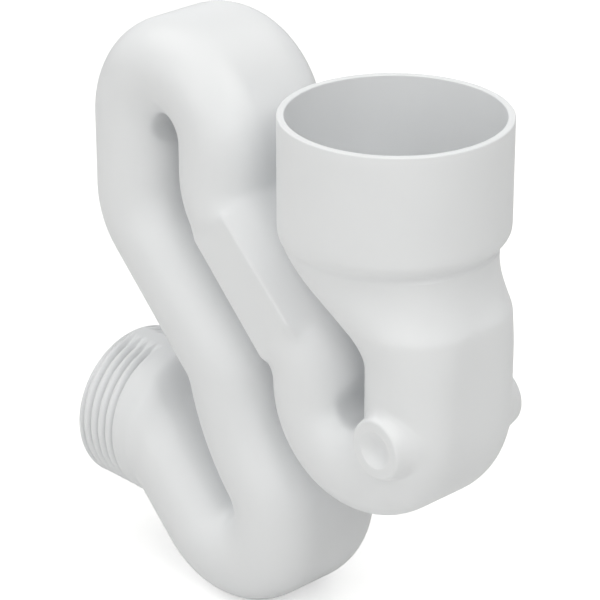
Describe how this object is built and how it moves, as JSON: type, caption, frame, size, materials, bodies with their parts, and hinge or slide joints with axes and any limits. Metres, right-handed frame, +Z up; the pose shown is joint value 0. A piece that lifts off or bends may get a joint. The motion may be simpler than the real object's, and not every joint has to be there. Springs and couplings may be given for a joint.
{
  "type": "urinal trap",
  "caption": "White plastic urinal trap: a round inlet socket over a flat hollow tube that folds down, up and over to a horizontal threaded outlet.",
  "frame": {"origin": "centre of the inlet socket's rim, on the socket's axis", "axes": "+Z up along the socket's axis, out of the socket; +Y towards the wall, along the outlet's axis; +X across, with the moulding's parting plane at X = 0"},
  "size_m": [0.064, 0.1417, 0.1749],
  "materials": {
    "white_plastic": "satin"
  },
  "bodies": {
    "root": {"trap_body": "white_plastic"}
  },
  "joints": []
}
